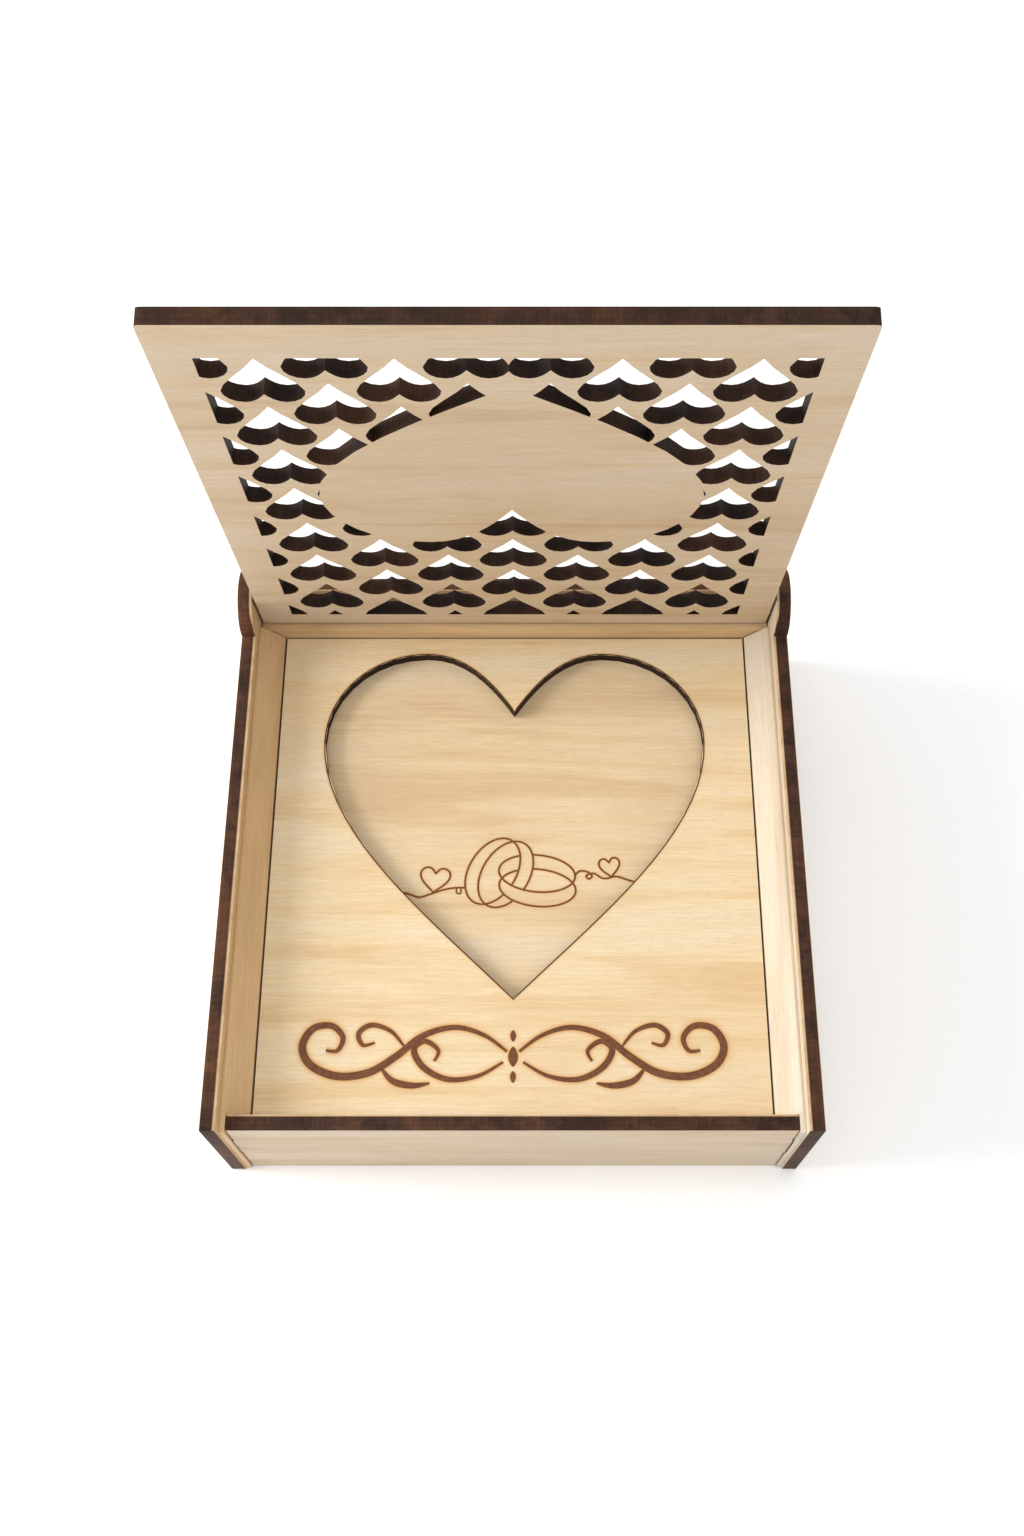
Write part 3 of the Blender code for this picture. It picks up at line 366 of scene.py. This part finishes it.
floor_edge = charred("floor_cut_edge", "Z", low, high)
panel("heart_floor", "heart_base", "case", floor_face, floor_edge, 2)
low, high = HINGE.z - LID_HALF_PLY, HINGE.z + LID_HALF_PLY
lid_edge = charred("lid_cut_edge", "Z", low, high, tilted=True, red=0.25, depth=0.5)
lattice = panel("lid_panel", "lattice_lid", "lid", lid_face, lid_edge, 2, tilted=True)
# The holes' cut walls take a darker copy of the lid's edge material (depth 0.3 against 0.5): painted shade
# inside the holes.
hole_edge = charred("lattice_hole_painted_shade", "Z", low, high, tilted=True, red=0.45, depth=0.3)
lattice.data.materials.append(hole_edge)
# Cut-edge faces inside the lattice get the darker painted-shade copy; the lid's outer edge keeps the lighter
# one.
shut_turn = Matrix.Rotation(LID_TURN, 3, "X")
for wall in lattice.data.polygons:
    spot = shut_turn @ (wall.center - HINGE)
    inside = abs(spot.x) < LATTICE_HALF and LATTICE_DEPTHS[0] < spot.y < LATTICE_DEPTHS[1]
    if wall.material_index == 1 and inside:
        wall.material_index = 2


# ------------------------------------------------------------------ curves for the engraving

def bezier(start, control_a, control_b, end, steps):
    points = []
    for step in range(steps):
        t = step / steps
        s = 1 - t
        weights = (s ** 3, 3 * s * s * t, 3 * s * t * t, t ** 3)
        corners = (start, control_a, control_b, end)
        points.append(tuple(sum(w * c[k] for w, c in zip(weights, corners)) for k in (0, 1)))
    return points


def heart(width, height, cleft, shoulder, lobe, flank, steps):
    half = width / 2
    notch, top, side = (0.0, height - cleft), (lobe, height), (half, shoulder)
    right = bezier(notch, (lobe * 0.22, height - cleft * 0.56), (lobe * 0.53, height), top, steps)
    right += bezier(top, (lobe + (half - lobe) * 0.56, height),
                    (half, shoulder + (height - shoulder) * 0.56), side, steps)
    right += bezier(side, flank[0], flank[1], (0.0, 0.0), steps)
    left = [(-x, y) for x, y in reversed(right[1:])]
    return right + [(0.0, 0.0)] + left


def flowing(points, steps=14):
    """A smooth line through the given points."""
    padded = [points[0]] + list(points) + [points[-1]]
    line = []
    for a, b, c, d in zip(padded, padded[1:], padded[2:], padded[3:]):
        for step in range(steps):
            t = step / steps
            line.append(tuple(0.5 * (2 * b[k] + (c[k] - a[k]) * t
                                     + (2 * a[k] - 5 * b[k] + 4 * c[k] - d[k]) * t * t
                                     + (3 * b[k] - a[k] - 3 * c[k] + d[k]) * t ** 3) for k in (0, 1)))
    line.append(tuple(points[-1]))
    return line


def normals(points, closed):
    count = len(points)
    result = []
    for k in range(count):
        before = points[k - 1] if (k or closed) else points[0]
        after = points[(k + 1) % count] if (k < count - 1 or closed) else points[-1]
        step = Vector((after[0] - before[0], after[1] - before[1]))
        step = step.normalized() if step.length > 1e-9 else Vector((1.0, 0.0))
        result.append((-step.y, step.x))
    return result


def stroke(bm, layer, points, width, height, halo=0.9, closed=False, rise=0.0):
    """Adds one engraved line: a dark core with a browned margin on each side."""
    count = len(points)
    sides = normals(points, closed)
    rows = []
    for k, (point, side) in enumerate(zip(points, sides)):
        half = (width(k / max(1, count - 1)) if callable(width) else width) / 2
        row = []
        for offset, burn, lift in ((-half - halo, 0.0, 0.015), (-half - halo * 0.35, 0.22, 0.03),
                                   (-half - 0.06, 0.5, 0.045), (-half + 0.02, 1.0, 0.06), (0.0, 1.0, 0.065),
                                   (half - 0.02, 1.0, 0.06), (half + 0.06, 0.5, 0.045),
                                   (half + halo * 0.35, 0.22, 0.03), (half + halo, 0.0, 0.015)):
            vert = bm.verts.new(((point[0] + side[0] * offset) * MM,
                                 (at_depth(0.0) + point[1] + side[1] * offset) * MM,
                                 (height + lift + rise) * MM))
            vert[layer] = burn
            row.append(vert)
        rows.append(row)
    pairs = list(zip(rows, rows[1:])) + ([(rows[-1], rows[0])] if closed else [])
    for one, two in pairs:
        for a, b, c, d in zip(one, one[1:], two[1:], two):
            bm.faces.new((a, b, c, d))


def engraving(name, strokes, material, height):
    bm = bmesh.new()
    layer = bm.verts.layers.float.new("burn")
    for index, (points, width, closed, halo) in enumerate(strokes):
        stroke(bm, layer, points, width, height, halo, closed, rise=0.0012 * index)
    for f in bm.faces:
        f.normal_update()
        if f.normal.z < 0:
            f.normal_flip()
    mesh = bpy.data.meshes.new(name)
    bm.to_mesh(mesh)
    bm.free()
    mesh.materials.append(material)
    mesh.shade_smooth()
    piece = add_piece(name, mesh)
    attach(piece, "case")
    return piece


DECK_Z = span("deck_panel", 2)[1] / MM
FLOOR_Z = span("heart_floor", 2)[1] / MM


# Two linked rings, each drawn as a near rim and a far rim

class Ring:
    def __init__(self, centre, long, short, tilt, offset):
        self.centre, self.long, self.short = Vector(centre), long, short
        self.tilt, self.offset = math.radians(tilt), Vector(offset)

    def point(self, angle, far):
        x, y = self.long * math.cos(angle), self.short * math.sin(angle)
        c, s = math.cos(self.tilt), math.sin(self.tilt)
        spot = self.centre + Vector((x * c - y * s, x * s + y * c))
        return spot + self.offset if far else spot

    def holds(self, spot, far):
        d = Vector(spot) - self.centre - (self.offset if far else Vector((0.0, 0.0)))
        c, s = math.cos(self.tilt), math.sin(self.tilt)
        return ((d.x * c + d.y * s) / self.long) ** 2 + ((d.y * c - d.x * s) / self.short) ** 2 < 1.0

    def front_band(self, spot):
        return self.holds(spot, True) and not self.holds(spot, False)


def visible_runs(ring, far, hidden, steps=120):
    """Unbroken runs of a rim, without its hidden points."""
    spots = [ring.point(2 * math.pi * k / steps, far) for k in range(steps)]
    shown = [not hidden(spot) for spot in spots]
    if all(shown):
        return [([tuple(s) for s in spots], True)]
    start = next(k for k in range(steps) if shown[k] and not shown[k - 1])
    runs, current = [], []
    for k in range(steps + 1):
        index = (start + k) % steps
        if k < steps and shown[index]:
            current.append(tuple(spots[index]))
        elif current:
            if len(current) > 3:
                runs.append((current, False))
            current = []
    return runs


left_ring = Ring((-5.7, 72.7), 10.2, 6.4, 62, (3.5, -0.9))
right_ring = Ring((6.2, 72.0), 10.3, 5.3, -6, (0.1, -4.1))
motif = []
for far in (False, True):
    for points, closed in visible_runs(left_ring, far, right_ring.front_band):
        motif.append((points, LINE, closed, 0.7))

    def under_left(spot):
        return spot[1] > 69.5 and left_ring.front_band(spot)

    for points, closed in visible_runs(right_ring, far, under_left):
        motif.append((points, LINE, closed, 0.7))


def small_heart(x, y, width, height, lean):
    flank = ((width / 2, height * 0.42), (width * 0.14, height * 0.16))
    outline = heart(width, height, height * 0.24, height * 0.72, width * 0.25, flank, 8)
    c, s = math.cos(math.radians(lean)), math.sin(math.radians(lean))
    return [(x + px * c - py * s, y + px * s + py * c) for px, py in outline]


motif.append((small_heart(-21.6, 66.6, 8.0, 7.0, -6), LINE, True, 0.7))
motif.append((small_heart(26.2, 71.0, 5.6, 5.4, 8), LINE, True, 0.7))
left_thread = [(-29.4, 66.5), (-27.6, 65.9), (-25.2, 65.2), (-22.0, 66.2), (-19.2, 67.2), (-16.2, 67.8),
               (-12.9, 67.9)]
motif.append((flowing(left_thread), LINE, False, 0.7))
motif.append((flowing([(-15.4, 67.6), (-15.3, 66.4), (-14.3, 66.3), (-14.2, 67.6)]), LINE * 0.8, False, 0.5))
right_thread = [(16.2, 71.2), (17.6, 72.6), (19.6, 72.5), (21.0, 71.3), (20.1, 70.4), (19.5, 71.4),
                (21.4, 72.0), (23.6, 70.7), (25.2, 70.6), (27.6, 71.1), (31.2, 69.9), (33.2, 69.5)]
motif.append((flowing(right_thread), LINE, False, 0.7))
engraving("ring_motif", motif, floor_face, FLOOR_Z)


# A generic scroll flourish in place of an inscription

def swell(thin, thick, power=1.0):
    return lambda t: thin + (thick - thin) * math.sin(math.pi * t) ** power


def mirrored(points):
    return [(-x, y) for x, y in points]


main_sweep = [(1.5, 22.3), (7.5, 26.6), (15.0, 28.6), (23.0, 26.4), (29.5, 21.2), (36.5, 16.9),
              (44.5, 16.0), (51.2, 18.8), (53.6, 23.6), (51.2, 28.2), (46.4, 29.0), (43.4, 26.0),
              (44.6, 22.6), (47.6, 22.6)]
under_sweep = [(2.5, 19.6), (9.0, 16.0), (16.5, 15.2), (22.6, 18.2), (25.2, 22.8), (22.4, 25.0), (19.0, 22.6),
               (20.0, 19.8)]
tendril = [(27.5, 23.4), (31.2, 27.6), (36.2, 29.2), (39.4, 27.0), (38.2, 24.0), (35.2, 24.6)]
leaf = [(33.6, 18.4), (30.4, 14.8), (25.4, 13.6), (21.0, 14.2)]
flourish = []
for flip in (lambda p: p, mirrored):
    flourish.append((flowing(flip(main_sweep)), swell(0.55, 2.0, 0.8), False, 1.7))
    flourish.append((flowing(flip(under_sweep)), swell(0.5, 1.6), False, 1.5))
    flourish.append((flowing(flip(tendril)), swell(0.45, 1.3), False, 1.3))
    flourish.append((flowing(flip(leaf)), swell(0.35, 1.7), False, 1.3))
for x, y, size in ((0.0, 21.0, 2.6), (0.0, 26.4, 1.5), (0.0, 15.8, 1.5)):
    flourish.append((flowing([(x, y - size), (x, y), (x, y + size)], 6), swell(0.1, size * 0.95), False, 1.0))
engraving("scroll_flourish", flourish, deck_face, DECK_Z)


# Browning beside the heart cut: a margin that fades into the deck

def margin(name, outline, material, height, reach, strength):
    """A browned margin, darkest at the outline, that reaches outwards from it."""
    bm = bmesh.new()
    layer = bm.verts.layers.float.new("burn")
    sides = normals(outline, True)
    rows = []
    for point, side in zip(outline, sides):
        row = []
        for share, burn in ((0.0, strength), (0.16, strength), (0.3, 0.4), (0.55, 0.14), (1.0, 0.0)):
            x = point[0] + side[0] * reach * share
            # a point near the cleft or the tip stays on its own side of the middle
            x = 0.0 if abs(point[0]) < 1e-6 else math.copysign(max(abs(x), 0.01), point[0])
            vert = bm.verts.new((x * MM,
                                 (at_depth(0.0) + point[1] + side[1] * reach * share) * MM,
                                 (height + 0.012) * MM))
            vert[layer] = burn
            row.append(vert)
        rows.append(row)
    for one, two in zip(rows, rows[1:] + rows[:1]):
        for a, b, c, d in zip(one, one[1:], two[1:], two):
            bm.faces.new((a, b, c, d))
    for f in bm.faces:
        f.normal_update()
        if f.normal.z < 0:
            f.normal_flip()
    mesh = bpy.data.meshes.new(name)
    bm.to_mesh(mesh)
    bm.free()
    mesh.materials.append(material)
    piece = add_piece(name, mesh)
    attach(piece, "case")


flank = ((52.4, 46.0), (20.0, 20.5))
opening = [(x, y + 36.2) for x, y in heart(104.8, 101.1, 18.4, 73.7, 24.7, flank, 18)]
margin("heart_scorch", opening, deck_face, DECK_Z, SCORCH_REACH, 1.8)

# ------------------------------------------------------------------ the movement

steel = metal("bright_steel", (0.56, 0.56, 0.58), 0.26)
blued = metal("blued_steel", (0.26, 0.29, 0.38), 0.3)
zinc = metal("cast_zinc", (0.52, 0.52, 0.54), 0.44, mottled=0.2)
brass = metal("turned_brass", (0.80, 0.58, 0.25), 0.26, brush_axis="Y")
nylon = moulded("nylon", (0.84, 0.83, 0.77))
finish_of = {"steel": steel, "zinc": zinc, "brass": brass, "blued_spring_steel": blued, "nylon": nylon}
for entry in frame["record"]["subparts"]:
    look = finish_of.get(entry["material_slot"])
    if look:
        mesh = frame["nodes"][entry["node"]].data
        mesh.materials.clear()
        mesh.materials.append(look)

# ------------------------------------------------------------------ floor, light and camera

bpy.ops.mesh.primitive_plane_add(size=6.0, location=(0.0, 0.0, 0.0))
floor = bpy.context.object
floor.name = "studio_floor"
paper = bpy.data.materials.new("studio_paper")
n = Nodes(paper)
tooth = n.noise(n.scaled(n.add("ShaderNodeTexCoord").outputs["Object"], (900.0, 900.0, 900.0)), 1.0, 3.0, 0.6)
n.finish(Base_Color=n.ramp(tooth, [(0.3, (0.93, 0.93, 0.93)), (0.7, (0.96, 0.96, 0.96))]), Roughness=0.95)
floor.data.materials.append(paper)


def area_light(name, place, target, size, watts, colour=(1.0, 1.0, 1.0)):
    lamp = bpy.data.lights.new(name, "AREA")
    lamp.shape = "DISK"
    lamp.size = size
    lamp.energy = watts
    lamp.color = colour
    holder = bpy.data.objects.new(name, lamp)
    holder.location = place
    holder.rotation_euler = (Vector(target) - Vector(place)).to_track_quat("-Z", "Y").to_euler()
    bpy.context.scene.collection.objects.link(holder)


area_light("key", (-0.93, 0.03, 0.46), (0.0, 0.0, 0.03), 0.55, 11.4)
area_light("top", (0.10, -0.12, 1.3), (0.0, 0.0, 0.0), 1.1, 4.6)
bpy.context.scene.view_settings.view_transform = "Standard"
world = bpy.data.worlds.new("studio")
bpy.context.scene.world = world
world.use_nodes = True
world.node_tree.nodes["Background"].inputs[0].default_value = (1.0, 1.0, 1.0, 1.0)
world.node_tree.nodes["Background"].inputs[1].default_value = 0.80

view = bpy.data.cameras.new("photo_view")
view.sensor_width = 36.0
view.lens = 36.99
view.shift_x = -0.0111
view.clip_start = 0.01
camera = bpy.data.objects.new("photo_view", view)
camera.location = (0.00406, -0.1599, 0.4312)
camera.rotation_euler = (math.radians(24.97), 0.0, 0.0)
bpy.context.scene.collection.objects.link(camera)
bpy.context.scene.camera = camera
